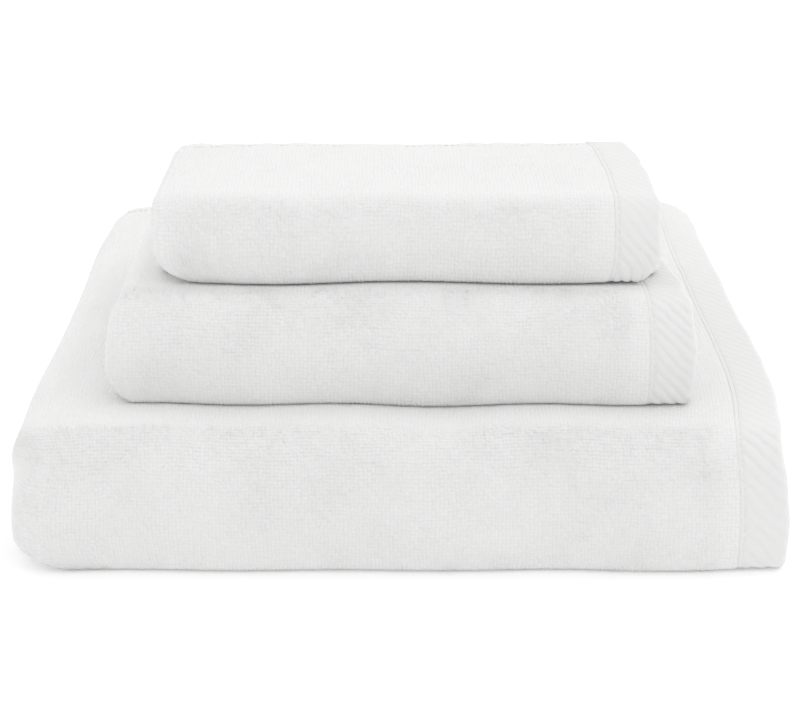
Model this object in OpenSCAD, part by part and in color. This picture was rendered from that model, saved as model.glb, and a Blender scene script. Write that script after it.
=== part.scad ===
// Bath towel set: three folded terry towels in a stack, the largest at the bottom.
// Each towel is one long cloth, folded lengthwise into plies and then over a front roll.
// +X points to the hem side, the front rolls face -Y, and +Z is up.

/* [Bath towel] */
// Width of the folded bath towel, from its folded left side to its hem
bath_w = 330; // [300:5:360]
// Depth of the folded bath towel's top, from the front roll to its back edge
bath_d = 326; // [300:2:360]
// Height of the folded bath towel
bath_h = 58; // [48:1:66]

/* [Hand towel] */
// Width of the folded hand towel
hand_w = 253; // [220:1:280]
// Depth of the folded hand towel's top
hand_d = 190; // [160:2:210]
// Height of the folded hand towel
hand_h = 45; // [40:1:54]
// How far the hand towel's front is set back from the bath towel's front
hand_setback = 43; // [30:1:70]
// How far the hand towel lies to the right of the stack's middle
hand_shift = 1; // [-10:0.5:10]

/* [Guest towel] */
// Width of the folded guest towel
guest_w = 222; // [190:1:235]
// Depth of the folded guest towel
guest_d = 106; // [90:1:120]
// Height of the folded guest towel
guest_h = 37; // [32:1:44]
// How far the guest towel's front is set back from the bath towel's front
guest_setback = 72; // [55:1:90]
// How far the guest towel lies to the right of the stack's middle
guest_shift = 2.5; // [-10:0.5:10]

/* [Cloth details] */
// Width of the ribbed border at each end of a towel
border_w = 19; // [14:1:26]
// Width of the sewn hem along each long side of a towel
side_hem_w = 9; // [6:1:12]
// How far the flat borders and hems lie below the tips of the pile
pile_step = 0.8; // [0.4:0.1:1.2]
// How far each inner ply stands out behind the ply round it
ply_creep = 3.5; // [1:0.5:5]
// Diameter of the sewing thread
thread_d = 0.5; // [0.3:0.1:0.6]
// Air between plies, and between towels
ply_gap = 0.4; // [0.3:0.1:0.5]

/* [Hidden] */
$fn = 64;

terry_white = [0.96, 0.96, 0.955];
border_white = [0.93, 0.93, 0.92];
thread_white = [0.88, 0.88, 0.87];
label_white = [0.98, 0.98, 0.98];

// The object's middle, front to back, lies at y = 0
back_reach = bath_d + 3 * ply_creep;
front_y = -back_reach / 2;

// Plies in each half of the folded towels: the bath towel is folded in quarters, the hand towel
// in thirds, and each panel of the guest towel is a cloth folded once
bath_plies = 4;
hand_plies = 3;
guest_plies = 2;
guest_panels = 3;

// Height of the face that each towel rests on
hand_z = bath_h + ply_gap;
guest_z = hand_z + hand_h + ply_gap;

// Radius of the front roll, and thickness of one ply
bath_r = bath_h / 2;
hand_r = hand_h / 2;
guest_r = guest_h / 2;
bath_t = bath_r / bath_plies;
hand_t = hand_r / hand_plies;
guest_t = guest_h / (guest_plies * guest_panels);

half_gap = ply_gap / 2;
// How far an inner fold or hem stays behind the outer ply's hem
inner_inset = 4;
// How far the row of thread lies inside a border or a side hem
seam_inset = 1.5;
// A thread rests on the cloth with this much clearance
thread_lift = 0.02;

label_w = 28;
label_l = 36;
label_t = 0.3;
// How far the label looks out of the plies, and its distance from the towel's left side
label_out = 5;
label_x = 60;

function outer_r(i, r, t) = i == 0 ? r : r - i * t - half_gap;
function inner_r(i, r, t, n) = i == n - 1 ? r - n * t + half_gap : r - (i + 1) * t + half_gap;

// Every outline below is drawn with the distance from a roll's centre along its first axis and
// the towel's width along its second. Ply 0 is the outermost.

// One ply, from x1 to x2, thinned by s on both faces
module ply(i, r, t, n, x1, x2, s = 0) {
    translate([inner_r(i, r, t, n) + s, x1])
        square([outer_r(i, r, t) - inner_r(i, r, t, n) - 2 * s, x2 - x1]);
}

// A fold that joins two plies: half a ring, which opens to the left or to the right
module fold(centre, x, r_out, r_in, side) {
    translate([centre, x]) difference() {
        circle(r_out);
        circle(r_in);
        translate([-2 * r_out, side > 0 ? -2 * r_out : 0]) square([4 * r_out, 2 * r_out]);
    }
}

// The end border, turned under to make the hem: two leaves that meet at the hem's edge
module turned_border(i, r, t, n, x_edge, side = 1) {
    lo = inner_r(i, r, t, n);
    hi = outer_r(i, r, t) - pile_step;
    leaf = (hi - lo - ply_gap) / 2;
    x1 = side > 0 ? x_edge - border_w : x_edge;
    web_x = side > 0 ? x_edge - leaf : x_edge;
    translate([lo, x1]) square([leaf, border_w]);
    translate([hi - leaf, x1]) square([leaf, border_w]);
    translate([lo, web_x]) square([hi - lo, leaf]);
}

module thread_dot(i, r, t, x) {
    translate([outer_r(i, r, t) - pile_step + thread_d / 2 + thread_lift, x]) circle(d = thread_d);
}

// Keeps only the part of an outline that belongs to ply i
module only_ply(i, r, t, n) {
    lo = i == n - 1 ? 0 : r - (i + 1) * t;
    hi = i == 0 ? r + 1 : r - i * t;
    intersection() {
        children();
        translate([lo, -500]) square([hi - lo, 1000]);
    }
}

// Lies an outline flat along +Y, with its first axis up
module along(y1, y2) {
    translate([0, y1, 0]) rotate([-90, -90, 0]) linear_extrude(y2 - y1) children();
}

// Takes an outline half a turn round the front, from the top to the bottom
module round_front() {
    rotate([180, -90, 0]) rotate_extrude(angle = 180) children();
}

// Takes an outline half a turn round the back, from the top to the bottom
module round_back() {
    mirror([0, 1, 0]) round_front() children();
}

// The straight run of every ply on one side of a towel folded in half, ply i ending at
// y + i * ply_creep, or only the last hem's width of that run
module stepped_run(y, r, t, n, hem_only = false) {
    for (i = [0 : n - 1]) {
        end = y + i * ply_creep;
        if (hem_only)
            along(end - side_hem_w, end) only_ply(i, r, t, n) children();
        else
            along(0, end - side_hem_w) only_ply(i, r, t, n) children();
    }
}

// Puts a towel that is folded round its front roll in its place in the stack
module place(shift, setback, r, z) {
    translate([shift, front_y + setback + r, z + r]) children();
}

// ---- Bath towel: a cloth folded in quarters, then in half ----

bath_fold_x = -bath_w / 2 + 2 * bath_t;
bath_inner_fold_x = bath_w / 2 - inner_inset - bath_t + half_gap;
bath_run = bath_d - bath_r;

module bath_place() {
    place(0, 0, bath_r, 0) children();
}

module bath_outline(s = 0) {
    edge = bath_w / 2 - border_w;
    ply(0, bath_r, bath_t, bath_plies, bath_fold_x, edge, s);
    ply(1, bath_r, bath_t, bath_plies, bath_fold_x, edge - inner_inset, s);
    ply(2, bath_r, bath_t, bath_plies, bath_fold_x, bath_inner_fold_x, s);
    ply(3, bath_r, bath_t, bath_plies, bath_fold_x, bath_inner_fold_x, s);
    intersection() {
        fold(2 * bath_t, bath_fold_x, 2 * bath_t - s, bath_t + half_gap + s, -1);
        translate([half_gap + s, -bath_w]) square([bath_r, 2 * bath_w]);
    }
    fold(2 * bath_t, bath_fold_x, bath_t - half_gap - s, half_gap + s, -1);
    fold(bath_t, bath_inner_fold_x, bath_t - half_gap - s, half_gap + s, 1);
}

module bath_terry() {
    color(terry_white) bath_place() {
        stepped_run(bath_run, bath_r, bath_t, bath_plies) bath_outline();
        round_front() bath_outline();
        mirror([0, 0, 1]) stepped_run(bath_run, bath_r, bath_t, bath_plies) bath_outline();
    }
}

// A border runs the whole way over the roll, from the upper back edge to the lower one
module border_run(run, i) {
    along(0, run + i * ply_creep) children();
    round_front() children();
    mirror([0, 0, 1]) along(0, run + i * ply_creep) children();
}

module bath_border_outer() {
    color(border_white) bath_place() border_run(bath_run, 0)
        turned_border(0, bath_r, bath_t, bath_plies, bath_w / 2);
}

module bath_border_inner() {
    color(border_white) bath_place() border_run(bath_run, 1)
        turned_border(1, bath_r, bath_t, bath_plies, bath_w / 2 - inner_inset);
}

module bath_side_hem_upper() {
    color(border_white) bath_place()
        stepped_run(bath_run, bath_r, bath_t, bath_plies, true) bath_outline(pile_step);
}

module bath_side_hem_lower() {
    color(border_white) bath_place() mirror([0, 0, 1])
        stepped_run(bath_run, bath_r, bath_t, bath_plies, true) bath_outline(pile_step);
}

// One row of thread across the back of ply i
module hem_row(i, run, r, t, x1, x2) {
    y = run + i * ply_creep - side_hem_w + seam_inset;
    z = outer_r(i, r, t) - pile_step + thread_d / 2 + thread_lift;
    translate([x1, y, z]) rotate([0, 90, 0]) cylinder(d = thread_d, h = x2 - x1);
}

// The rows of a towel folded in half: one along each border and one along each ply's side hem
module stitching(run, r, t, n, border_rows, hem_rows) {
    for (b = border_rows)
        border_run(run, b[0]) thread_dot(b[0], r, t, b[1]);
    for (h = hem_rows) {
        hem_row(h[0], run, r, t, h[1], h[2]);
        mirror([0, 0, 1]) hem_row(h[0], run, r, t, h[1], h[2]);
    }
}

module bath_stitching() {
    seam_x = bath_w / 2 - border_w + seam_inset;
    color(thread_white) bath_place()
        stitching(bath_run, bath_r, bath_t, bath_plies,
            [[0, seam_x], [1, seam_x - inner_inset]],
            [[0, bath_fold_x, seam_x - 2 * seam_inset],
             [1, bath_fold_x, seam_x - 2 * seam_inset - inner_inset],
             [2, bath_fold_x, bath_inner_fold_x],
             [3, bath_fold_x, bath_inner_fold_x]]);
}

// A blank label lies between the two outermost plies and looks out at the back
module care_label(run, r, t, width) {
    end = run + ply_creep + label_out;
    translate([-width / 2 + label_x, end - label_l, r - t - half_gap])
        cube([label_w, label_l, label_t]);
}

module bath_care_label() {
    color(label_white) bath_place() care_label(bath_run, bath_r, bath_t, bath_w);
}

// ---- Hand towel: a cloth folded in thirds, with one end tucked inside, then in half ----

hand_fold_x = -hand_w / 2 + 1.5 * hand_t;
hand_inner_fold_x = hand_w / 2 - inner_inset - hand_t + half_gap;
hand_run = hand_d - hand_r;
// The tucked end's hem lies just inside the left fold
hand_tuck_x = hand_fold_x + 1;

module hand_outline(s = 0) {
    edge = hand_w / 2 - border_w;
    ply(0, hand_r, hand_t, hand_plies, hand_fold_x, edge, s);
    ply(1, hand_r, hand_t, hand_plies, hand_tuck_x + border_w, hand_inner_fold_x, s);
    ply(2, hand_r, hand_t, hand_plies, hand_fold_x, hand_inner_fold_x, s);
    intersection() {
        fold(1.5 * hand_t, hand_fold_x, 1.5 * hand_t - s, 0.5 * hand_t + half_gap + s, -1);
        translate([half_gap + s, -hand_w]) square([hand_r, 2 * hand_w]);
    }
    fold(hand_t, hand_inner_fold_x, hand_t - half_gap - s, half_gap + s, 1);
}

module hand_place() {
    place(hand_shift, hand_setback, hand_r, hand_z) children();
}

module hand_terry() {
    color(terry_white) hand_place() {
        stepped_run(hand_run, hand_r, hand_t, hand_plies) hand_outline();
        round_front() hand_outline();
        mirror([0, 0, 1]) stepped_run(hand_run, hand_r, hand_t, hand_plies) hand_outline();
    }
}

module hand_border_outer() {
    color(border_white) hand_place() border_run(hand_run, 0)
        turned_border(0, hand_r, hand_t, hand_plies, hand_w / 2);
}

module hand_border_inner() {
    color(border_white) hand_place() border_run(hand_run, 1)
        turned_border(1, hand_r, hand_t, hand_plies, hand_tuck_x, -1);
}

module hand_side_hem_upper() {
    color(border_white) hand_place()
        stepped_run(hand_run, hand_r, hand_t, hand_plies, true) hand_outline(pile_step);
}

module hand_side_hem_lower() {
    color(border_white) hand_place() mirror([0, 0, 1])
        stepped_run(hand_run, hand_r, hand_t, hand_plies, true) hand_outline(pile_step);
}

module hand_stitching() {
    seam_x = hand_w / 2 - border_w + seam_inset;
    tuck_seam_x = hand_tuck_x + border_w - seam_inset;
    color(thread_white) hand_place()
        stitching(hand_run, hand_r, hand_t, hand_plies,
            [[0, seam_x], [1, tuck_seam_x]],
            [[0, hand_fold_x, seam_x - 2 * seam_inset],
             [1, tuck_seam_x + 2 * seam_inset, hand_inner_fold_x],
             [2, hand_fold_x, hand_inner_fold_x]]);
}

module hand_care_label() {
    color(label_white) hand_place() care_label(hand_run, hand_r, hand_t, hand_w);
}

// ---- Guest towel: a cloth folded once, then in three panels, the last one inside ----

guest_fold_x = -guest_w / 2 + guest_t;
guest_run = guest_d - guest_r;
// Outer radius of the back fold, where the lower panel turns into the middle one
guest_back_r = guest_plies * guest_t;
// The back fold reaches a little past the upper panel's edges
guest_back_y = guest_run - guest_back_r + 2 * ply_creep;
// Distance from the front roll's centre to the middle panel's free edge
guest_tuck_y = 1;

// The two plies of a panel, drawn for the back fold's outer radius
module guest_outline(s = 0) {
    edge = guest_w / 2 - border_w;
    ply(0, guest_back_r, guest_t, guest_plies, guest_fold_x, edge, s);
    ply(1, guest_back_r, guest_t, guest_plies, guest_fold_x, edge - inner_inset, s);
    intersection() {
        fold(guest_t, guest_fold_x, guest_t - s, half_gap + s, -1);
        translate([half_gap + s, -guest_w]) square([guest_back_r, 2 * guest_w]);
    }
}

// Height of the back fold's centre above the front roll's
guest_back_rise = guest_back_r - guest_r;

module guest_place() {
    place(guest_shift, guest_setback, guest_r, guest_z) children();
}

// Takes an outline from the upper panel's edge round the roll, along the lower panel,
// round the back fold and along the middle panel to start_y
module letter_fold(top_y, start_y) {
    upper_panel(0, top_y) children();
    round_front() outline_at(guest_r) children();
    mirror([0, 0, 1]) upper_panel(0, guest_back_y) children();
    translate([0, guest_back_y, guest_back_rise]) round_back() children();
    middle_panel(start_y, guest_back_y) children();
}

// Moves an outline drawn for the back fold's outer radius to the outer radius r
module outline_at(r) {
    translate([r - guest_back_r, 0]) children();
}

// Lies an outline along the upper panel, from y1 to y2
module upper_panel(y1, y2) {
    along(y1, y2) outline_at(guest_r) children();
}

// Lies an outline along the middle panel, from y1 to y2
module middle_panel(y1, y2) {
    translate([0, 0, guest_back_rise]) along(y1, y2) children();
}

module guest_terry() {
    color(terry_white) guest_place()
        letter_fold(guest_run - side_hem_w, guest_tuck_y + side_hem_w) guest_outline();
}

module guest_border_outer() {
    color(border_white) guest_place() letter_fold(guest_run, guest_tuck_y)
        turned_border(0, guest_back_r, guest_t, guest_plies, guest_w / 2);
}

module guest_border_inner() {
    color(border_white) guest_place() letter_fold(guest_run, guest_tuck_y)
        turned_border(1, guest_back_r, guest_t, guest_plies, guest_w / 2 - inner_inset);
}

module guest_side_hem_upper() {
    color(border_white) guest_place()
        upper_panel(guest_run - side_hem_w, guest_run) guest_outline(pile_step);
}

module guest_side_hem_inner() {
    color(border_white) guest_place()
        middle_panel(guest_tuck_y, guest_tuck_y + side_hem_w) guest_outline(pile_step);
}

module guest_stitching() {
    seam_x = guest_w / 2 - border_w + seam_inset;
    row_end = seam_x - 2 * seam_inset;
    color(thread_white) guest_place() {
        letter_fold(guest_run, guest_tuck_y) thread_dot(0, guest_back_r, guest_t, seam_x);
        letter_fold(guest_run, guest_tuck_y)
            thread_dot(1, guest_back_r, guest_t, seam_x - inner_inset);
        for (i = [0 : guest_plies - 1]) {
            x2 = row_end - i * inner_inset;
            translate([0, -i * ply_creep, 0]) hem_row(i, guest_run, guest_r, guest_t, guest_fold_x, x2);
            translate([0, guest_tuck_y + side_hem_w - guest_run - i * ply_creep, guest_back_rise])
                hem_row(i, guest_run, guest_back_r, guest_t, guest_fold_x, x2);
        }
    }
}

module guest_care_label() {
    color(label_white) guest_place()
        translate([0, -ply_creep, 0]) care_label(guest_run, guest_r, guest_t, guest_w);
}

bath_terry();
bath_border_outer();
bath_border_inner();
bath_side_hem_upper();
bath_side_hem_lower();
bath_stitching();
bath_care_label();
hand_terry();
hand_border_outer();
hand_border_inner();
hand_side_hem_upper();
hand_side_hem_lower();
hand_stitching();
hand_care_label();
guest_terry();
guest_border_outer();
guest_border_inner();
guest_side_hem_upper();
guest_side_hem_inner();
guest_stitching();
guest_care_label();
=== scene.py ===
"""Three folded terry towels in a stack.

Each towel is one long cloth. Its plies are followed by a path across the towel's width and its
depth, and that path is then wrapped round the front roll. Every piece of a towel but its label,
from the pile to the stitches, is laid out on the flat cloth and folded by the same function.
"""
import math

import bmesh
import bpy
import numpy as np
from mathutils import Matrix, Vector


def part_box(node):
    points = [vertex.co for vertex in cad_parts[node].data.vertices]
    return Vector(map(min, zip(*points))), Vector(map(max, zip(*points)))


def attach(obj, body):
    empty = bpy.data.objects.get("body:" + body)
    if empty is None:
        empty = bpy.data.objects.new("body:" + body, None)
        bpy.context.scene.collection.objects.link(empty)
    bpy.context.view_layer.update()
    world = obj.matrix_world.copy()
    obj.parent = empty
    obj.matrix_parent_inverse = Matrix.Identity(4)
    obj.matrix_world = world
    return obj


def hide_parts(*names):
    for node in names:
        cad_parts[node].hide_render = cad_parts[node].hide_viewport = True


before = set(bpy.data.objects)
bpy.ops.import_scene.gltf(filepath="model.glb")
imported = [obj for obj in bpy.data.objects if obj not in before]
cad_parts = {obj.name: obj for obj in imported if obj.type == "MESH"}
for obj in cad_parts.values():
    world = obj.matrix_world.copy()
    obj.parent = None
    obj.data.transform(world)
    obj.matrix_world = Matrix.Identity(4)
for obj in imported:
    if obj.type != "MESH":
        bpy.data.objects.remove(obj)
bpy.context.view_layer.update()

MM = 0.001
SIDE_HEM = 9.0        # width of the hem along each long side of a cloth
PLY_CREEP = 3.5       # how far each ply stands out behind the one round it
INNER_INSET = 4.0     # how far an inner hem or fold stays behind the outer hem
PANELS = 3            # panels of a towel that isn't folded in half
PLY_GAP = 0.4         # air between two plies
PRESSED = 0.8         # how far a towel's weight presses it into the pile below
PILE_PITCH = 1.65     # distance between two loops of the pile
RIB_SLOPE = 1.05      # how far a rib drops along the edge for each millimetre across the border
RIB_HEIGHT = 0.68
LOOP_HEIGHT = 0.6     # how far a loop of the pile stands above the gaps round it
LEAF = 1.7            # thickness of one leaf of a border, which is turned under at its hem
BORDER_SINK = 0.15    # how far a border's face lies below the base of the pile
HEM_SINK = 0.7        # the same for a side hem
BORDER_LAP = 1.3      # how far a border reaches in under the pile's edge
HEM_LAP = 1.0         # the same for a side hem
BORDER_SEAM = 0.8     # how far a border's row of stitches lies inside its edge
HEM_SEAM = 1.5        # the same for a side hem
BORDER_CHANNEL = 0.25   # depth of the channel that the stitches pull into a border
HEM_CHANNEL = 0.3       # the same for a side hem
STITCH = 3.1          # length of one stitch
THREAD = 0.42         # thickness of the thread
THREAD_RISE = 0.3     # share of the thread's thickness by which its middle clears the channel


# ---- Small helpers ----

def ripple(points, wavelength, seed, waves=7):
    """A smooth random field of about unit size, a sum of waves that is the same on every run."""
    rng = np.random.default_rng(seed)
    total = np.zeros(points.shape[:-1])
    for _ in range(waves):
        direction = rng.normal(size=points.shape[-1])
        direction *= 2 * math.pi / wavelength / np.linalg.norm(direction)
        direction *= rng.uniform(0.6, 1.5)
        total += np.sin(points @ direction + rng.uniform(0, 2 * math.pi))
    return total / math.sqrt(waves / 2) / 1.4


def smooth_step(x, low, high):
    """Rises from 0 at low to 1 at high, level at both ends."""
    x = np.clip((x - low) / (high - low), 0, 1)
    return x * x * (3 - 2 * x)


def curve(x, points):
    """A soft line close to a few (x, y) points: straight from one to the next, then smoothed."""
    px, py = zip(*points)
    samples, reach = 240, 18
    grid = np.linspace(px[0], px[-1], samples)
    window = np.hanning(2 * reach + 1)
    line = np.pad(np.interp(grid, px, py), reach, mode="edge")
    return np.interp(x, grid, np.convolve(line, window / window.sum(), "valid"))


def spaced(*stops):
    """Stations along a line: (position, spacing up to the next position), ..., last position."""
    out = [stops[0][0]]
    for (start, gap), following in zip(stops[:-1], stops[1:]):
        end = following[0] if isinstance(following, tuple) else following
        count = max(1, round((end - start) / gap))
        out += list(np.linspace(start, end, count + 1)[1:])
    return np.array(out)


# ---- A towel and how it is folded ----

class Towel:
    """A folded towel's measures in millimetres, and the map from flat cloth to folded towel.

    On the flat cloth, s runs along its length from the outer hem, t across its width, and o
    stands out of its middle surface, towards the face that the folded towel shows. Each random
    field has a seed of its own, a few above the towel's.
    """

    def __init__(self, name, half_fold, plies, cloth_w, roll, left, right, back_rise, rib_pitch,
                 below, seed):
        self.name, self.half_fold, self.plies, self.seed = name, half_fold, plies, seed
        self.left_give, self.right_give = left, right
        self.back_rise, self.rib_pitch, self.below = back_rise, rib_pitch, below
        terry = np.array(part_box(f"{name}_terry")) / MM
        border = np.array(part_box(f"{name}_border_outer")) / MM
        left_x, hem_x = terry[0][0], border[1][0]
        self.mid_x = (left_x + hem_x) / 2
        self.width = hem_x - left_x
        self.front, self.top_back = terry[0][1], border[1][1]
        if not half_fold:
            # its border goes on round the back fold, further back than the top's edge
            self.top_back = np.array(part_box(f"{name}_side_hem_upper"))[1][1] / MM
        self.low, self.height = terry[0][2], terry[1][2] - terry[0][2]
        if below:
            self.low -= PRESSED
        self.border = hem_x - border[0][0]
        self.radius = self.height / 2
        self.ply = self.radius / plies if half_fold else self.height / (PANELS * plies)
        self.half_ply = self.ply / 2 - PLY_GAP / 2
        self.cloth_w = cloth_w
        self.nose_shape(*roll)
        self.make_path()

    # -- the path across the width: straight runs and folds --

    def make_path(self):
        """The cloth's middle line, as places across the width and depths below the surface.

        A run is given by its two ends and its depth. A fold, to a deeper ply, and a fold back are
        given by the place and depth of their centre, their radius and the side they bulge to.
        """
        t, half = self.ply, self.width / 2
        left = -half + t * self.plies / 2
        right = half - INNER_INSET - t
        runs = {
            4: [("run", half, left, 0.5 * t), ("fold", left, 2 * t, 1.5 * t, -1),
                ("run", left, right, 3.5 * t), ("back", right, 3 * t, 0.5 * t, 1),
                ("run", right, left, 2.5 * t), ("back", left, 2 * t, 0.5 * t, -1),
                ("run", left, half - INNER_INSET, 1.5 * t)],
            3: [("run", half, left, 0.5 * t), ("fold", left, 1.5 * t, t, -1),
                ("run", left, right, 2.5 * t), ("back", right, 2 * t, 0.5 * t, 1),
                ("run", right, left + 1, 1.5 * t)],
            2: [("run", half, left, 0.5 * t), ("fold", left, t, 0.5 * t, -1),
                ("run", left, half - INNER_INSET, 1.5 * t)],
        }[self.plies]
        # marks are the distances along the cloth at which each run and each fold ends
        points, self.marks, length = [], [0.0], 0.0
        run_points, fold_points = 60, 40
        for kind, a, b, c, *side in runs:
            if kind == "run":
                steps = np.linspace(0, 1, run_points)
                xs, ns = a + (b - a) * steps, np.full(run_points, c)
                length += abs(b - a)
            else:
                start = -90 if kind == "fold" else 90
                turn = np.radians(np.linspace(start, -start, fold_points))
                xs, ns = a + side[0] * c * np.cos(turn), b + c * np.sin(turn)
                length += math.pi * c
            points += [(x, n) for x, n in zip(xs, ns)]
            self.marks.append(length)
        line = np.array(points)
        step = np.r_[0, np.cumsum(np.hypot(*np.diff(line, axis=0).T))]
        keep = np.r_[True, np.diff(step) > 1e-6]
        self.line, self.line_s = line[keep], step[keep]
        self.length = self.line_s[-1]

    def across(self, s, o):
        """The place across the width, and the depth below the towel's outer surface."""
        def at(values):
            return [np.interp(values, self.line_s, self.line[:, i]) for i in (0, 1)]
        reach = 0.3
        on_line = np.clip(s, reach, self.length - reach)
        ahead, behind = at(on_line + reach), at(on_line - reach)
        dx, dn = ahead[0] - behind[0], ahead[1] - behind[1]
        size = np.hypot(dx, dn)
        dx, dn = dx / size, dn / size
        x, n = at(on_line)
        past = s - on_line
        return x + past * dx - o * dn, n + past * dn + o * dx

    # -- the wrap round the front roll --

    def nose_shape(self, depth, apex, low_power, high_power):
        """The roll's outline seen from the side: blunt below, where it rests, and rounder above.

        For each half the curve holds the distance along it, and the places forward and up.
        """
        r = self.radius
        self.nose = depth * r
        lift = (2 * apex - 1) * r
        turn = np.linspace(0, math.pi / 2, 200)
        self.curve = {}
        for side, power in ((1, high_power), (-1, low_power)):
            u = self.nose * np.cos(turn) ** (2 / power)
            v = lift + (side * r - lift) * np.sin(turn) ** (2 / power)
            arc = np.r_[0, np.cumsum(np.hypot(np.diff(u), np.diff(v)))]
            self.curve[side] = (arc, u, v)
        self.roll_y = self.front + self.nose
        self.quarter = {side: c[0][-1] for side, c in self.curve.items()}

    def round_roll(self, arc, k, side):
        """A point on the roll, at this distance from its foremost line on a ply of scale k."""
        arcs, u, v = self.curve[side]
        unit = arc / k
        return (self.roll_y - k * np.interp(unit, arcs, u),
                self.low + self.radius + k * np.interp(unit, arcs, v))

    def wrap(self, n, t):
        """The place front to back and the height, for a depth below the surface and a width t."""
        return self.wrap_half(n, t) if self.half_fold else self.wrap_letter(n, t)

    def wrap_half(self, n, t):
        """A cloth folded in half: t is 0 along the roll's foremost line, and positive above."""
        smallest = 0.004      # keeps the innermost ply's scale above nothing
        k = np.clip(1 - n / self.radius, smallest, None)
        end = self.top_back - self.roll_y + PLY_CREEP * (n - self.ply / 2) / self.ply
        y, z = np.zeros_like(t), np.zeros_like(t)
        for side in (1, -1):
            here = (t >= 0) if side > 0 else (t < 0)
            quarter = k * self.quarter[side]
            along = np.abs(t) * (quarter + end) / (self.cloth_w / 2)
            ry, rz = self.round_roll(along, k, side)
            flat = along > quarter
            y = np.where(here, np.where(flat, self.roll_y + along - quarter, ry), y)
            z = np.where(here, np.where(flat, self.low + self.radius * (1 + side * k), rz), z)
        return y, z

    def wrap_letter(self, n, t):
        """A cloth in three panels: t runs from the upper edge, round the roll, along the lower
        panel, round the back fold and along the middle panel."""
        k = 1 - n / self.radius
        back_r = 2 * self.ply
        back_y = self.top_back + 2 * PLY_CREEP - back_r
        upper = self.top_back - self.roll_y
        lower = back_y - self.roll_y
        middle = lower + 4    # the middle panel reaches a little way into the roll
        parts = [np.full_like(n, upper), k * self.quarter[1], k * self.quarter[-1],
                 np.full_like(n, lower), math.pi * (back_r - n), np.full_like(n, middle)]
        total = sum(parts)
        along = t * total / self.cloth_w
        y, z = self.top_back - along, self.low + self.radius * (1 + k)
        start = parts[0]
        for side, part in ((1, parts[1]), (-1, parts[2])):
            arc = part - (along - start) if side > 0 else along - start
            ry, rz = self.round_roll(np.clip(arc, 0, None), k, side)
            y, z = np.where(along > start, ry, y), np.where(along > start, rz, z)
            start = start + part
        y = np.where(along > start, self.roll_y + along - start, y)
        z = np.where(along > start, self.low + self.radius * (1 - k), z)
        start = start + parts[3]
        turn = (along - start) / np.clip(back_r - n, 0.05, None)
        y = np.where(along > start, back_y + (back_r - n) * np.sin(turn), y)
        z = np.where(along > start, self.low + back_r - (back_r - n) * np.cos(turn), z)
        start = start + parts[4]
        y = np.where(along > start, back_y - (along - start), y)
        z = np.where(along > start, self.low + 2 * back_r - n, z)
        return y, z

    # -- the give of soft cloth --

    def settle(self, x, y, z):
        """Bends the neat folded shape a little, the same way for all of the towel's pieces."""
        corner = 9.0      # how far before the back edge its corners start to round off
        cut_off = 3.5     # how far they are rounded off
        r = (x - self.mid_x) / (self.width / 2)
        up = np.clip((z - self.low) / self.height, 0, 1)
        nose = np.clip((self.roll_y - y) / self.nose, 0, 1)
        depth = y - self.front
        from_back = np.clip((depth - (self.top_back - self.front) + corner) / corner, 0, 1.2)
        for side, line, lean in ((-1, *self.left_give), (1, *self.right_give)):
            out = curve(depth, line) * smooth_step(side * r, 0.1, 1)
            out = out + curve(up, lean) * smooth_step(nose, 0, 0.6) * (side * r).clip(0) ** 5
            out = out - cut_off * from_back ** 2 * smooth_step(side * r, 0.85, 1)
            x = x + side * out
        # the roll's face and the sides wander a little
        flat = np.stack([x, y], -1)
        y = y + 0.8 * ripple(flat[..., :1], 110, self.seed + 1) * nose
        side_line = np.stack([y, z], -1)
        x = x + 0.35 * ripple(side_line, 120, self.seed + 2) * np.abs(r) ** 4
        # the underside takes the shape of the top that it lies on
        z = z + up * self.top_give(x, y)
        if self.below:
            z = z + (1 - up) * self.below.top_give(x, y)
        return x, y, z

    def top_give(self, x, y):
        """How far the top stands above its neat height: it rolls, its sides sink and its back
        rises."""
        r = ((x - self.mid_x) / (self.width / 2)).clip(-1, 1)
        roll = 0.5 * ripple(np.stack([x, y], -1), 100, self.seed + 3)
        sink = 1.3 * r ** 8
        rise = np.interp(r, (-1, 1), self.back_rise) * (1 - r ** 20)
        rise = rise * smooth_step(y, 0.4 * self.top_back, self.top_back)
        return roll - sink + rise

    def place(self, s, t, o):
        """Flat cloth to folded towel, in metres in the frame."""
        s, t, o = np.broadcast_arrays(*(np.asarray(a, float) for a in (s, t, o)))
        x, n = self.across(s, o)
        x = x + self.mid_x
        # each ply's edges stray from the next one's
        edge = np.stack([s, t], -1)
        x = x + 0.5 * ripple(edge, 140, self.seed + 4)
        y, z = self.wrap(n, t)
        end = np.abs(t) / (self.cloth_w / 2) if self.half_fold else 1 - t / (self.cloth_w / 4)
        y = y + 1.1 * ripple(s[..., None], 120, self.seed + 5) * smooth_step(end, 0.75, 1)
        x, y, z = self.settle(x, y, z)
        return np.stack([x, y, z], -1) * MM

    def t_range(self, inset=0.0):
        """The cloth's two long edges, or lines at this distance inside them."""
        if self.half_fold:
            return -self.cloth_w / 2 + inset, self.cloth_w / 2 - inset
        return inset, self.cloth_w - inset

    def t_stations(self, fine, coarse, inset=0.0):
        """Stations across the width, close together round the roll and the back fold."""
        low, high = self.t_range(inset)
        if self.half_fold:
            reach = self.quarter[1] + 8
            return spaced((low, coarse), (-reach, fine), (reach, coarse), high)
        upper = self.top_back - self.roll_y - 6
        roll = upper + self.quarter[1] + self.quarter[-1]
        back = roll + (self.top_back - self.roll_y) * 0.85
        back_end = back + 35
        return spaced((low, coarse), (upper, fine), (roll, coarse), (back, fine),
                      (back_end, coarse), high)


# ---- Meshes ----

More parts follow.
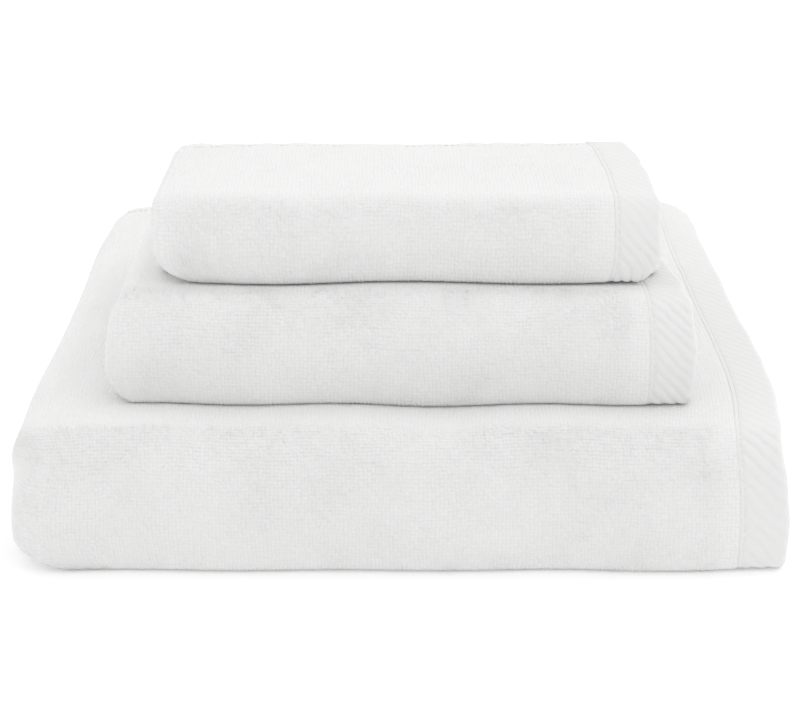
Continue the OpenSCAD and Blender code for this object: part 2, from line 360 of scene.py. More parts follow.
def add_mesh(name, vertices, faces, flat_cloth):
    """A smooth object with its flat-cloth coordinates, in millimetres, as its UV map."""
    mesh = bpy.data.meshes.new(name)
    mesh.from_pydata(vertices.reshape(-1, 3).tolist(), [], faces)
    layer = mesh.uv_layers.new(name="cloth")
    index = np.empty(len(mesh.loops), dtype=np.int32)
    mesh.loops.foreach_get("vertex_index", index)
    layer.data.foreach_set("uv", flat_cloth.reshape(-1, 2)[index].astype(np.float32).ravel())
    mesh.polygons.foreach_set("use_smooth", [True] * len(mesh.polygons))
    mesh.validate()
    # the two kinds of fold lay the cloth out with opposite hands
    solid = bmesh.new()
    solid.from_mesh(mesh)
    if solid.calc_volume(signed=True) < 0:
        mesh.flip_normals()
    solid.free()
    mesh.update()
    obj = bpy.data.objects.new(name, mesh)
    bpy.context.scene.collection.objects.link(obj)
    return obj


def grid_faces(rows, columns, offset=0, closed=False, flip=False):
    """Quads over a grid of vertices; closed joins the last column to the first."""
    i = np.arange(rows - 1)[:, None]
    j = np.arange(columns if closed else columns - 1)[None, :]
    k = (j + 1) % columns
    quads = np.stack([i * columns + j, i * columns + k, (i + 1) * columns + k,
                      (i + 1) * columns + j], -1).reshape(-1, 4) + offset
    return (quads[:, ::-1] if flip else quads).tolist()


def swept(name, place, path, loop_a, loop_b, along_s):
    """A closed strip: a loop of (a, o) points, carried along the path and capped at both ends.

    along_s is True where the strip follows the cloth's length, and False where it follows its
    width. loop_a and loop_b are arrays of shape (stations, points).
    """
    stations, points = loop_a.shape
    run = np.repeat(path[:, None], points, 1)
    s, t = (run, loop_a) if along_s else (loop_a, run)
    vertices = place(s, t, loop_b)
    faces = grid_faces(stations, points, closed=True, flip=along_s)
    first = list(range(points))
    last = [(stations - 1) * points + j for j in range(points)]
    faces += [first[::-1], last] if not along_s else [first, last[::-1]]
    return add_mesh(name, vertices, faces, np.stack([s, t], -1))


def make_cloth(towel):
    """The terry field: one closed sheet between the two borders and the two side hems."""
    marks = towel.marks
    s_low, s_high = towel.border, towel.length - towel.border
    fine, coarse = 2.3, 8.0
    stops = [(s_low, fine), (marks[1], 1.4), (marks[2], coarse)]
    for k in range(2, len(marks) - 2):
        stops.append((marks[k + 1], 1.5 if k % 2 == 0 else coarse))
    s = spaced(*stops, s_high)
    t = towel.t_stations(fine, 5.0, SIDE_HEM)
    # close rows along the rim, where the pile rounds over
    rim, clear = np.array([0.0, 0.2, 0.6, 1.2, 2.0]), 3
    s, t = (np.unique(np.r_[v[0] + rim, v[(v > v[0] + clear) & (v < v[-1] - clear)],
                            v[-1] - rim]) for v in (s, t))
    s_grid, t_grid = np.meshgrid(s, t, indexing="ij")
    inside = np.minimum(np.minimum(s_grid - s[0], s[-1] - s_grid),
                        np.minimum(t_grid - t[0], t[-1] - t_grid))
    rounding = np.sqrt(1 - (1 - np.clip(inside / rim[-1], 0, 1)) ** 2)
    uneven = 0.08
    unevenness = uneven * ripple(np.stack([s_grid, t_grid], -1), 11, towel.seed + 9, 12)
    reach = towel.half_ply * rounding + np.minimum(unevenness, uneven) * rounding
    outer = towel.place(s_grid, t_grid, reach)
    inner = towel.place(s_grid, t_grid, -reach)
    rows, columns = s_grid.shape
    count = rows * columns
    ids_out = np.arange(count).reshape(rows, columns)
    ids_in = ids_out + count
    # both faces meet in one row of vertices along the rim
    for edge in (np.s_[0, :], np.s_[-1, :], np.s_[:, 0], np.s_[:, -1]):
        ids_in[edge] = ids_out[edge]
    faces = []
    for ids, flip in ((ids_out, True), (ids_in, False)):
        quads = np.stack([ids[:-1, :-1], ids[:-1, 1:], ids[1:, 1:], ids[1:, :-1]], -1)
        quads = quads.reshape(-1, 4)
        faces += (quads[:, ::-1] if flip else quads).tolist()
    used = np.zeros(2 * count, bool)
    used[np.unique(np.concatenate([ids_out.ravel(), ids_in.ravel()]))] = True
    renumber = np.cumsum(used) - 1
    faces = renumber[np.array(faces)].tolist()
    vertices = np.concatenate([outer.reshape(-1, 3), inner.reshape(-1, 3)])[used]
    flat = np.stack([s_grid, t_grid], -1).reshape(-1, 2)
    flat = np.concatenate([flat, flat])[used]
    return add_mesh(f"{towel.name}_cloth", vertices, faces, flat)


def make_loops(towel):
    """The loops of the pile that can be told apart, over the front roll: one peak per loop."""
    half = PILE_PITCH / 2
    foot_gap = 1.5        # how far the loops end above the foot of the roll
    onto_top = 8 if towel.plies == 4 else 16
    s_low = towel.border + 0.7
    # they end part of the way round the fold at the towel's left side
    s_high = towel.marks[1] + (towel.marks[2] - towel.marks[1]) * 0.6
    if towel.half_fold:
        t_low, t_high = foot_gap - towel.quarter[-1], towel.quarter[1] + onto_top
    else:
        roll_top = towel.top_back - towel.roll_y
        t_low = roll_top - onto_top
        t_high = roll_top + towel.quarter[1] + towel.quarter[-1] - foot_gap
    i = np.arange(2 * round(s_low / PILE_PITCH), 2 * round(s_high / PILE_PITCH) + 1)
    j = np.arange(2 * round(t_low / PILE_PITCH), 2 * round(t_high / PILE_PITCH) + 1)
    s, t = np.meshgrid(i * half, j * half, indexing="ij")
    flat = np.stack([s, t], -1)
    rng = np.random.default_rng(towel.seed + 20)
    # a peak at every second row and column, ridges between the peaks, and gaps among the ridges
    peak = ((i[:, None] % 2 == 0) & (j[None, :] % 2 == 0)).astype(float)
    ridge = ((i[:, None] % 2 == 0) ^ (j[None, :] % 2 == 0)).astype(float)
    height = peak * rng.uniform(0.75, 1.15, s.shape) + ridge * rng.uniform(0.2, 0.4, s.shape)
    inside = np.minimum(np.minimum(s - s.min(), s.max() - s), np.minimum(t - t.min(), t.max() - t))
    # the relief fades out slowly towards the sides and the top, and ends sharply at the foot
    foot = t - t.min() if towel.half_fold else t.max() - t
    top = t.max() - t if towel.half_fold else t - t.min()
    fade = smooth_step(np.minimum(np.minimum(s - s.min(), s.max() - s), top), 1, 14)
    fade = fade * smooth_step(foot, 0.5, 3)
    brushed = 0.9 + 0.12 * ripple(flat, 60, towel.seed + 21)
    # the rim of the patch sinks into the cloth
    rim_sink = 0.55 * (1 - smooth_step(inside, 0, 1.2))
    base = towel.half_ply + 0.14 - rim_sink
    reach = base + LOOP_HEIGHT * fade * brushed.clip(0.6, 1.1) * height
    stray = fade * rng.uniform(-0.1, 0.1, (2,) + s.shape)
    wave_s = 0.25 * ripple(flat, 40, towel.seed + 22) + 0.06 * ripple(flat, 9, towel.seed + 23)
    wave_t = 0.3 * ripple(flat, 40, towel.seed + 24) + 0.06 * ripple(flat, 9, towel.seed + 25)
    outer = towel.place(s + stray[0] + wave_s * fade, t + stray[1] + wave_t * fade, reach)
    root = 1.6            # how far the patch reaches into the cloth
    inner = towel.place(s, t, np.full_like(s, towel.half_ply - root))
    rows, columns = s.shape
    count = rows * columns
    vertices = np.concatenate([outer.reshape(-1, 3), inner.reshape(-1, 3)])
    faces = grid_faces(rows, columns) + grid_faces(rows, columns, count, flip=True)
    ids = np.arange(count).reshape(rows, columns)
    rim = np.concatenate([ids[0, :-1], ids[:-1, -1], ids[-1, :0:-1], ids[:0:-1, 0]])
    ahead = np.roll(rim, -1)
    faces += np.stack([rim, rim + count, ahead + count, ahead], -1).tolist()
    return add_mesh(f"{towel.name}_loops", vertices, faces, np.concatenate([flat, flat]))


def rib(s, t, slope, pitch):
    """Height of the border's diagonal ribs: round backs and narrow grooves."""
    phase = (t + slope * RIB_SLOPE * s) / pitch
    phase = phase + 0.07 * np.sin(0.31 * t) + 0.04 * np.sin(0.9 * s + 0.2 * t)
    return RIB_HEIGHT * (np.abs(np.sin(math.pi * phase)) ** 0.65 - 0.75)


def make_border(towel, name, hem_s, toward, fine):
    """An end border, turned under at the hem. toward is +1 where s grows away from the hem.

    Its section is drawn as (distance from the hem, o): along the face, round the hem's edge, back
    along the underside, and then back along both inner faces.
    """
    top = towel.half_ply - BORDER_SINK
    bottom = -towel.half_ply + 0.3
    middle, half = (top + bottom) / 2, (top - bottom) / 2
    seam = towel.border + BORDER_LAP
    gap = 0.55 if fine else 2.0
    upper_s = spaced((half, gap), seam)[::-1]
    turn = np.radians(np.linspace(90, 270, 12))[1:-1]
    inner_turn = np.radians(np.linspace(270, 90, 8))[1:-1]
    inner_half = half - LEAF
    loop = [(s, top) for s in upper_s]
    loop += [(half + half * math.cos(a), middle + half * math.sin(a)) for a in turn]
    loop += [(s, bottom) for s in np.linspace(half, seam - 1, 6)]
    loop += [(s, bottom + LEAF) for s in np.linspace(seam - 1, half, 6)]
    loop += [(half + inner_half * math.cos(a), middle + inner_half * math.sin(a))
             for a in inner_turn]
    loop += [(s, top - LEAF) for s in np.linspace(half, seam, 6)]
    loop = np.array(loop)
    low, high = towel.t_range()
    if fine:
        hidden = -towel.quarter[-1] - 6 if towel.half_fold else low + 1
        path = spaced((low, 1.05), (hidden, 0.56), high)
    else:
        path = towel.t_stations(2.2, 4.0)
    a = np.repeat(loop[None, :, 0], len(path), 0)
    o = np.repeat(loop[None, :, 1], len(path), 0)
    run = path[:, None]
    on_top = smooth_step(o, top - 1.2, top)
    edges = smooth_step(a, 0.3, 2.2) * smooth_step(seam - a, 0.2, 1.2)
    ends = smooth_step(np.minimum(run - low, high - run), 0.4, 3)
    channel = on_top * np.exp(-((a - towel.border + BORDER_SEAM) / 0.6) ** 2)
    if fine:
        # the ribs are pressed flatter on the towel's top, behind the roll
        if towel.half_fold:
            behind = run - towel.quarter[1]
        else:
            behind = towel.top_back - towel.roll_y - run
        flattening = 0.6
        pressed = 1 - flattening * smooth_step(behind, -14, 4)
        slope = -1 if towel.half_fold else 1
        ribs = rib(a, run, slope, towel.rib_pitch) * pressed
        o = o + on_top * (1 - channel) * edges * ends * ribs
    o = o - BORDER_CHANNEL * channel
    # the hem's edge wavers, and both ends of the border round shut
    taper = 2.2
    a = a + 0.35 * ripple(run[..., None], 30, towel.seed + 11) * smooth_step(seam - a, 0, 8)
    pinch = np.sqrt(1 - (1 - np.clip(np.minimum(run - low, high - run) / taper, 0.05, 1)) ** 2)
    o = middle + (o - middle) * pinch
    s = hem_s + toward * a
    if toward < 0:
        s, o = s[:, ::-1], o[:, ::-1]
    return swept(name, towel.place, path, s, o, along_s=False)


def make_side_hem(towel, name, edge_t, toward):
    """A narrow folded hem along one long side of the cloth, through all its folds."""
    half = towel.half_ply - HEM_SINK
    width = SIDE_HEM + HEM_LAP
    turn = np.radians(np.linspace(90, 270, 7))
    loop = [(half + half * math.cos(a), half * math.sin(a)) for a in turn]
    loop += [(d, -half) for d in np.linspace(half, width, 6)[1:]]
    loop += [(d, half) for d in np.linspace(width, half, 6)[:-1]]
    loop = np.array(loop)
    s_low, s_high = towel.border - 0.5, towel.length - towel.border + 0.5
    path = spaced((s_low, 2.6), (towel.marks[1], 1.5), (towel.marks[2], 2.6), s_high)
    d = np.repeat(loop[None, :, 0], len(path), 0)
    o = np.repeat(loop[None, :, 1], len(path), 0)
    run = path[:, None]
    outward = smooth_step(width - d, 0, width)
    # the thread gathers the hem a little, and its edge wavers
    d = d + outward * 0.5 * ripple(run[..., None], 42, towel.seed + 13 + int(edge_t > 0))
    gathers = 0.10 * ripple(run[..., None], 17, towel.seed + 15)
    waver = 0.3 * ripple(run[..., None], 60, towel.seed + 16)
    o = o * (1 + gathers) + waver
    o = o - np.sign(o) * HEM_CHANNEL * np.exp(-((d - SIDE_HEM + HEM_SEAM) / 0.8) ** 2)
    t = edge_t + toward * d
    if toward < 0:
        t, o = t[:, ::-1], o[:, ::-1]
    return swept(name, towel.place, path, t, o, along_s=True)


def stitch_row(towel, starts, ends, height, along_s, fixed):
    """One row of lockstitch: a short rounded bead of thread for each stitch, ends sunk."""
    sides, rings = 6, np.array([0.0, 0.16, 0.5, 0.84, 1.0])
    shown, before = 0.86, 0.08    # shares of a stitch that show, and lie before its bead
    count = max(2, int((ends - starts) / STITCH))
    first_ends = np.linspace(starts, ends, count + 1)[:-1]
    length = (ends - starts) / count * shown
    turn = 2 * math.pi * np.arange(sides) / sides
    swell = np.array([0.35, 0.85, 1.0, 0.85, 0.35]) * THREAD / 2
    sink = np.array([-0.32, -0.08, 0.04, -0.08, -0.32])
    along = first_ends[:, None, None] + length * (rings[None, :, None] + before)
    beside = fixed + swell[None, :, None] * np.cos(turn)[None, None, :]
    above = height + sink[None, :, None] + swell[None, :, None] * np.sin(turn)[None, None, :]
    along, beside, above = np.broadcast_arrays(along, beside, above)
    s, t = (along, beside) if along_s else (beside, along)
    vertices = towel.place(s, t, above).reshape(-1, 3)
    flat = np.stack([s, t], -1).reshape(-1, 2)
    one = grid_faces(len(rings), sides, closed=True, flip=along_s)
    caps = [list(range(sides)), list(range((len(rings) - 1) * sides, len(rings) * sides))]
    caps = [caps[0][::-1], caps[1]] if not along_s else [caps[0], caps[1][::-1]]
    faces = []
    for k in range(count):
        base = k * len(rings) * sides
        faces += [[base + v for v in f] for f in one + caps]
    return vertices, faces, flat


def make_thread(towel):
    """All of a towel's sewing thread as one piece of many stitches."""
    t_low, t_high = towel.t_range(2.0)
    hem_t = towel.t_range(SIDE_HEM - HEM_SEAM)
    s_low, s_high = towel.border + 2, towel.length - towel.border - 2
    on_border = towel.half_ply - BORDER_SINK - BORDER_CHANNEL + THREAD * THREAD_RISE
    on_hem = towel.half_ply - HEM_SINK - HEM_CHANNEL + THREAD * THREAD_RISE
    rows = [
        (t_low, t_high, on_border, False, towel.border - BORDER_SEAM),
        (t_low, t_high, on_border, False, towel.length - towel.border + BORDER_SEAM),
        (s_low, s_high, on_hem, True, hem_t[0]),
        (s_low, s_high, on_hem, True, hem_t[1]),
    ]
    vertices, faces, flat, offset = [], [], [], 0
    for row in rows:
        v, f, uv = stitch_row(towel, *row)
        vertices.append(v)
        flat.append(uv)
        faces += [[k + offset for k in face] for face in f]
        offset += len(v)
    return add_mesh(f"{towel.name}_thread", np.concatenate(vertices), faces,
                    np.concatenate(flat))


def make_label(towel):
    """A blank folded ribbon, sewn into the side hem of the second ply and looking out behind."""
    box = np.array(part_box(f"{towel.name}_care_label")) / MM
    (x1, y1, z), (x2, y2, _) = box
    columns, rows = 15, 22
    u, v = np.meshgrid(np.linspace(0, 1, columns), np.linspace(0, 1, rows))
    sag = -1.6 * smooth_step(v, 0.72, 1) ** 2 + 0.25 * np.sin(math.pi * u) * v
    x = x1 + (x2 - x1) * u
    y = y1 + (y2 - y1) * v
    # half its thickness, which swells at the fold
    thick = 0.18 + 0.25 * smooth_step(v, 0.8, 0.97) * (1 - smooth_step(v, 0.97, 1))
    middle = z + 0.15 + sag
    upper = np.stack([x, y, middle + thick], -1)
    lower = np.stack([x, y, middle - thick], -1)
    vertices = np.concatenate([upper.reshape(-1, 3), lower.reshape(-1, 3)]) * MM
    faces = grid_faces(rows, columns) + grid_faces(rows, columns, rows * columns, flip=True)
    rim = list(range(columns))
    rim += [i * columns + columns - 1 for i in range(1, rows)]
    rim += [(rows - 1) * columns + j for j in range(columns - 2, -1, -1)]
    rim += [i * columns for i in range(rows - 2, 0, -1)]
    for a, b in zip(rim, rim[1:] + rim[:1]):
        faces.append([b, a, a + rows * columns, b + rows * columns])
    flat = np.stack([x, y], -1).reshape(-1, 2)
    return add_mesh(f"{towel.name}_label", vertices, faces, np.concatenate([flat, flat]))


# ---- Materials ----

PILE_WHITE = (0.9, 0.9, 0.897, 1)
# painted shade: the pile's colour in the gaps between loops
PILE_GAP_SHADE = (0.835, 0.835, 0.832, 1)
PILE_SPECK = (0.86, 0.86, 0.855, 1)
THREAD_WHITE = (0.88, 0.88, 0.87, 1)
# painted shade: the thread's colour in the grooves between its plies
THREAD_GROOVE_SHADE = (0.79, 0.79, 0.78, 1)
FLOOR_WHITE = (0.96, 0.96, 0.96, 1)
FLOOR_GREY = (0.95, 0.95, 0.95, 1)
FLOOR_GLOW = 0.12


def new_material(name):
    """A material with its node tree and its shader."""
    material = bpy.data.materials.new(name)
    material.use_nodes = True
    tree = material.node_tree
    return material, tree, tree.nodes["Principled BSDF"]


def node(tree, kind, inputs=None, **settings):
    """Adds a node. An input is a value, or another node's output to link to it."""
    made = tree.nodes.new(kind)
    for key, value in settings.items():
        setattr(made, key, value)
    for key, value in (inputs or {}).items():
        if isinstance(value, bpy.types.NodeSocket):
            tree.links.new(value, made.inputs[key])
        else:
            made.inputs[key].default_value = value
    return made


def maths(tree, operation, a, b=0.0, c=0.0):
    """One sum on values or outputs; MULTIPLY_ADD is a * b + c."""
    return node(tree, "ShaderNodeMath", {0: a, 1: b, 2: c}, operation=operation).outputs[0]


def mix_colour(tree, factor, a, b):
    """Colour a where the factor is 0, and b where it is 1."""
    mixed = node(tree, "ShaderNodeMix", {0: factor, 6: a, 7: b}, data_type="RGBA")
    return mixed.outputs[2]


def cloth_coordinates(tree, stray=0.0, scale=0.05):
    """Flat-cloth millimetres, pushed about a little so that rows of yarn aren't ruled lines."""
    flat = node(tree, "ShaderNodeUVMap", uv_map="cloth").outputs[0]
    if not stray:
        return flat
    push = node(tree, "ShaderNodeTexNoise", {"Vector": flat, "Scale": scale, "Detail": 2.0},
                noise_dimensions="2D").outputs["Color"]
    push = node(tree, "ShaderNodeVectorMath", {0: push, 1: (0.5, 0.5, 0.5)},
                operation="SUBTRACT").outputs[0]    # noise is 0.5 on average
    push = node(tree, "ShaderNodeVectorMath", {0: push, "Scale": stray},
                operation="SCALE").outputs[0]
    return node(tree, "ShaderNodeVectorMath", {0: flat, 1: push}, operation="ADD").outputs[0]


def terry_material():
    """Cotton loop pile: rows of small soft loops with painted shade in the gaps, unevenly brushed.
    """
    material, tree, shader = new_material("terry_pile")
    flat = cloth_coordinates(tree)
    place = cloth_coordinates(tree, stray=2.4, scale=0.05)
    loose = node(tree, "ShaderNodeTexVoronoi",
                 {"Vector": place, "Scale": 1 / PILE_PITCH, "Randomness": 0.35},
                 voronoi_dimensions="2D").outputs
    dome = maths(tree, "SUBTRACT", 1.0,
                 maths(tree, "POWER", maths(tree, "MULTIPLY", loose["Distance"], 1.5), 2.0))
    dome = node(tree, "ShaderNodeClamp", {0: dome}).outputs[0]
    one_loop = node(tree, "ShaderNodeSeparateColor", {0: loose["Color"]}).outputs[0]
    dome = maths(tree, "MULTIPLY", dome, maths(tree, "MULTIPLY_ADD", one_loop, 0.5, 0.6))
    fibres = node(tree, "ShaderNodeTexNoise", {"Vector": place, "Scale": 2.4, "Detail": 4.0},
                  noise_dimensions="2D").outputs["Fac"]
    brushed = node(tree, "ShaderNodeTexNoise", {"Vector": flat, "Scale": 0.035, "Detail": 2.0},
                   noise_dimensions="2D").outputs["Fac"]
    brushed = node(tree, "ShaderNodeMapRange", {0: brushed, 1: 0.35, 2: 0.65, 3: 0.8, 4: 1.0})
    height = maths(tree, "MULTIPLY", dome, brushed.outputs[0])
    height = maths(tree, "ADD", height, maths(tree, "MULTIPLY", fibres, 0.5))
    bump = node(tree, "ShaderNodeBump", {"Height": height, "Strength": 0.6, "Distance": 0.0005})
    tree.links.new(bump.outputs[0], shader.inputs["Normal"])
    # painted shade: the colour darkens in the gaps between the loops, where shade falls
    gap = maths(tree, "MULTIPLY", maths(tree, "SUBTRACT", 1.0, dome), brushed.outputs[0])
    colour = mix_colour(tree, maths(tree, "SUBTRACT", 1.0, gap), PILE_GAP_SHADE, PILE_WHITE)
    speck = node(tree, "ShaderNodeTexNoise", {"Vector": flat, "Scale": 1.1, "Detail": 3.0},
                 noise_dimensions="2D").outputs["Fac"]
    speck = node(tree, "ShaderNodeMapRange", {0: speck, 1: 0.3, 2: 0.7, 3: 0.0, 4: 0.35})
    colour = mix_colour(tree, speck.outputs[0], colour, PILE_SPECK)
    tree.links.new(colour, shader.inputs["Base Color"])
    shader.inputs["Roughness"].default_value = 1.0
    shader.inputs["Specular IOR Level"].default_value = 0.15
    shader.inputs["Sheen Weight"].default_value = 0.12
    shader.inputs["Sheen Roughness"].default_value = 0.6
    return material


def weave_material(name, pitch, light, dip_shade, roughness, sheen):
    """Flat cotton weave: warp and weft threads crossing at this pitch, with painted shade where they
    dip.
    """
    material, tree, shader = new_material(name)
    place = cloth_coordinates(tree, stray=1.0, scale=0.06)
    parts = node(tree, "ShaderNodeSeparateXYZ", {0: place}).outputs
    turns = [maths(tree, "SINE", maths(tree, "MULTIPLY", p, math.pi / pitch)) for p in parts[:2]]
    cross = maths(tree, "ABSOLUTE", maths(tree, "MULTIPLY", turns[0], turns[1]))
    cross = maths(tree, "POWER", cross, 0.6)
    fuzz = node(tree, "ShaderNodeTexNoise", {"Vector": place, "Scale": 3.0, "Detail": 3.0},
                noise_dimensions="2D").outputs["Fac"]
    height = maths(tree, "ADD", cross, maths(tree, "MULTIPLY", fuzz, 0.5))
    bump = node(tree, "ShaderNodeBump", {"Height": height, "Strength": 0.4, "Distance": 0.00012})
    tree.links.new(bump.outputs[0], shader.inputs["Normal"])
    # painted shade: the colour darkens where the threads dip between their crossings; the fuzz adds
    # tone that differs at random
    shade_and_tone = maths(tree, "MULTIPLY_ADD", cross, 0.75, maths(tree, "MULTIPLY", fuzz, 0.4))
    tree.links.new(mix_colour(tree, shade_and_tone, dip_shade, light), shader.inputs["Base Color"])
    shader.inputs["Roughness"].default_value = roughness
    shader.inputs["Specular IOR Level"].default_value = 0.25
    shader.inputs["Sheen Weight"].default_value = sheen
    shader.inputs["Sheen Roughness"].default_value = 0.5
    return material


def thread_material():
    """Polyester thread: fine slanting plies, painted shade in their grooves, and a slight lustre."""
    material, tree, shader = new_material("sewing_thread")
    place = cloth_coordinates(tree)
    parts = node(tree, "ShaderNodeSeparateXYZ", {0: place}).outputs
    slant = maths(tree, "MULTIPLY_ADD", parts[0], 9.0, maths(tree, "MULTIPLY", parts[1], 12.0))
    plies = maths(tree, "ABSOLUTE", maths(tree, "SINE", slant))
    bump = node(tree, "ShaderNodeBump", {"Height": plies, "Strength": 0.5, "Distance": 0.00006})
    tree.links.new(bump.outputs[0], shader.inputs["Normal"])
    # painted shade: the colour darkens in the grooves between the plies
    colour = mix_colour(tree, plies, THREAD_GROOVE_SHADE, THREAD_WHITE)
    tree.links.new(colour, shader.inputs["Base Color"])
    shader.inputs["Roughness"].default_value = 0.6
    return material


def floor_material():
    """A plain pale floor with a faint glow, as of a lit table."""
    material, tree, shader = new_material("pale_floor")
    place = node(tree, "ShaderNodeTexCoord").outputs["Object"]
    grain = node(tree, "ShaderNodeTexNoise", {"Vector": place, "Scale": 6.0}).outputs["Fac"]
    colour = mix_colour(tree, grain, FLOOR_GREY, FLOOR_WHITE)
    tree.links.new(colour, shader.inputs["Base Color"])
    shader.inputs["Roughness"].default_value = 0.9
    shader.inputs["Emission Color"].default_value = (1, 1, 1, 1)
    shader.inputs["Emission Strength"].default_value = FLOOR_GLOW
    return material


# ---- Camera, light and floor ----

CAMERA_X = 0.0007
CAMERA_HEIGHT = 0.368
CAMERA_DISTANCE = 0.648      # from the bath towel's front
CAMERA_TILT = 22.5           # degrees below the horizon
CAMERA_LENS, CAMERA_SENSOR = 79.0, 36.0

TENT = 0.355                 # strength of the light tent all round
TENT_ROOF = 0.38             # what its roof adds, and its floor as much
TENT_WALLS = (               # what each wall adds: axis, which way along it, strength
    (0, -1, 0.52),
    (0, 1, 0.64),
    (1, -1, 0.10),
    (1, 1, 0.40),
)
SOFTBOX = 0.36
SOFTBOX_SPREAD = 70          # degrees
SOFTBOX_TILT = (2, 14)       # degrees
FLOOR_REACH = 30.0           # from the middle to each side, so that its edges look far off


def make_camera(front):
    """The camera, before the stack and looking down at it."""
    data = bpy.data.cameras.new("camera")
    data.lens, data.sensor_width = CAMERA_LENS, CAMERA_SENSOR
    camera = bpy.data.objects.new("camera", data)
    camera.location = (CAMERA_X, front * MM - CAMERA_DISTANCE, CAMERA_HEIGHT)
    camera.rotation_euler = (math.radians(90 - CAMERA_TILT), 0, 0)
    bpy.context.scene.collection.objects.link(camera)
    bpy.context.scene.camera = camera


def make_studio():
    """A light tent round the towels, one large soft lamp above them, and the floor."""
    scene = bpy.context.scene
    scene.view_settings.view_transform = "Standard"
    world = bpy.data.worlds.new("studio")
    world.use_nodes = True
    tree = world.node_tree
    sky = tree.nodes["Background"]
    sky.inputs["Color"].default_value = (1, 1, 1, 1)
    # the world's own coordinates give the direction in which each ray leaves
    ray = node(tree, "ShaderNodeTexCoord").outputs["Generated"]
    toward = node(tree, "ShaderNodeSeparateXYZ", {0: ray}).outputs
    strength = maths(tree, "MULTIPLY_ADD", maths(tree, "ABSOLUTE", toward[2]), TENT_ROOF, TENT)
    for axis, sign, added in TENT_WALLS:
        wall = maths(tree, "MAXIMUM", maths(tree, "MULTIPLY", toward[axis], sign), 0.0)
        strength = maths(tree, "MULTIPLY_ADD", wall, added, strength)
    tree.links.new(strength, sky.inputs["Strength"])
    scene.world = world
    data = bpy.data.lights.new("softbox", "SUN")
    data.energy, data.angle = SOFTBOX, math.radians(SOFTBOX_SPREAD)
    softbox = bpy.data.objects.new("softbox", data)
    softbox.rotation_euler = [math.radians(a) for a in SOFTBOX_TILT] + [0]
    scene.collection.objects.link(softbox)
    mesh = bpy.data.meshes.new("floor")
    corners = ((-1, -1), (1, -1), (1, 1), (-1, 1))
    mesh.from_pydata([(x * FLOOR_REACH, y * FLOOR_REACH, 0) for x, y in corners], [], [(0, 1, 2, 3)])
    floor = bpy.data.objects.new("floor", mesh)
    mesh.materials.append(floor_material())
    scene.collection.objects.link(floor)


# ---- The set ----

def dress(piece, material, body, slot, *nodes):
    """Gives a piece its material and its body, and the CAD nodes that it stands for. slot is not
    used.
    """
    piece.data.materials.clear()
    piece.data.materials.append(material)
    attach(piece, body)
    if nodes:
        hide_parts(*nodes)


def make_towel(towel, looks, lower_hem):
    """All the pieces of one towel. lower_hem is the last word of its lower side hem's CAD node."""
    name, body = towel.name, f"{towel.name}_towel"
    low_t, high_t = towel.t_range()
    cloth = make_cloth(towel)
    outer = make_border(towel, f"{name}_ribbed_border", 0.0, 1, fine=True)
    inner = make_border(towel, f"{name}_tucked_border", towel.length, -1, fine=False)
    # the upper side hem ends the cloth at the top: t is highest there, or lowest on a letter fold
    upper_t, lower_t = (high_t, low_t) if towel.half_fold else (low_t, high_t)
    hems = [make_side_hem(towel, f"{name}_{side}_selvedge", edge, -1 if edge == high_t else 1)
            for side, edge in (("upper", upper_t), ("lower", lower_t))]
    thread = make_thread(towel)
    label = make_label(towel)
    loops = make_loops(towel)
    dress(loops, looks["terry"], body, "terry")
    dress(cloth, looks["terry"], body, "terry", f"{name}_terry")
    dress(outer, looks["border"], body, "flat_weave", f"{name}_border_outer")
    dress(inner, looks["border"], body, "flat_weave", f"{name}_border_inner")
    dress(hems[0], looks["hem"], body, "flat_weave", f"{name}_side_hem_upper")
    dress(hems[1], looks["hem"], body, "flat_weave", f"{name}_side_hem_{lower_hem}")
    dress(thread, looks["thread"], body, "sewing_thread", f"{name}_stitching")
    dress(label, looks["label"], body, "label_satin", f"{name}_care_label")


# each weave's darker colour is painted shade where its threads dip between their crossings
looks = {
    "terry": terry_material(),
    "border": weave_material("border_weave", pitch=0.45, light=(0.86, 0.86, 0.856, 1),
                             dip_shade=(0.81, 0.81, 0.805, 1), roughness=0.8, sheen=0.15),
    "hem": weave_material("hem_weave", pitch=0.6, light=(0.88, 0.88, 0.875, 1),
                          dip_shade=(0.82, 0.82, 0.81, 1), roughness=0.9, sheen=0.1),
    "thread": thread_material(),
    "label": weave_material("label_satin", pitch=0.25, light=(0.93, 0.93, 0.93, 1),
                            dip_shade=(0.86, 0.86, 0.86, 1), roughness=0.35, sheen=0.3),
}

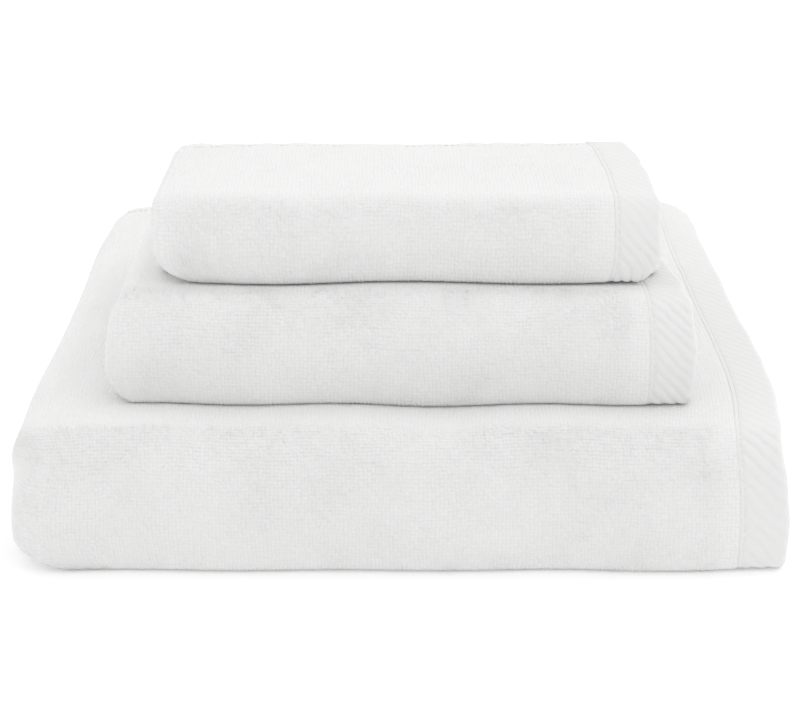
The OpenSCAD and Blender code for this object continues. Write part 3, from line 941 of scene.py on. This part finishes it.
# cloth_w: width of the flat cloth. roll: its depth as a share of its radius, the height of its
# foremost line as a share of its height, and its bluntness below and above. left and right: how
# far each side gives outwards, first by the distance behind the front and then by the share of
# the height on the roll. back_rise: how far the top's left and right back corners stand up.
# rib_pitch: distance between two ribs along the hem. below: the towel that it lies on.
bath = Towel(
    "bath", half_fold=True, plies=4, cloth_w=686.0, roll=(0.86, 0.37, 10.0, 2.0),
    left=(((0, -1.6), (20, -1.2), (60, 0.8), (160, 0.5), (230, 1.4), (290, 3), (326, 3)),
          ((0, -20.4), (0.03, -12), (0.07, -7.6), (0.12, -3.8), (0.18, -1.4), (0.25, -0.4),
           (0.45, -1.1), (0.6, -2.2), (0.75, -5.6), (0.88, -6.4), (1, -3))),
    right=(((0, -3.4), (18, -3.4), (50, 1), (90, 3.4), (125, 3.9), (160, 2.9), (225, 2.5),
            (275, 2.7), (326, 3.4)),
           ((0, 2.2), (0.2, 2.3), (0.42, 2.5), (0.7, 1.4), (0.85, 0.2), (1, -0.4))),
    back_rise=(3.8, 6.0), rib_pitch=7.0, below=None, seed=10)
hand = Towel(
    "hand", half_fold=True, plies=3, cloth_w=406.0, roll=(0.92, 0.38, 9.0, 2.0),
    left=(((0, 1.5), (15, 0.3), (40, -0.8), (55, -0.5), (190, -1)), ((0, -4), (0.3, 1), (1, 0))),
    right=(((0, 0.9), (20, -0.4), (30, -0.4), (61, -4.6), (100, -6.8), (190, -8)),
           ((0, -1), (0.3, 1), (1, 0))),
    back_rise=(-0.3, -0.3), rib_pitch=5.8, below=bath, seed=30)
guest = Towel(
    "guest", half_fold=False, plies=2, cloth_w=305.0, roll=(0.95, 0.38, 8.0, 2.0),
    left=(((0, 0), (106, 0)), ((0, -16.5), (0.12, -6), (0.35, -0.6), (1, 0))),
    right=(((0, 1.2), (15, 2), (50, 1.8), (68, 0.2), (85, -0.6), (106, -3.8)),
           ((0, -8.5), (0.2, -2.4), (0.4, 0), (1, 0))),
    back_rise=(-1.6, -1.6), rib_pitch=5.8, below=hand, seed=50)

make_camera(bath.front)
make_studio()
make_towel(bath, looks, "lower")
make_towel(hand, looks, "lower")
make_towel(guest, looks, "inner")
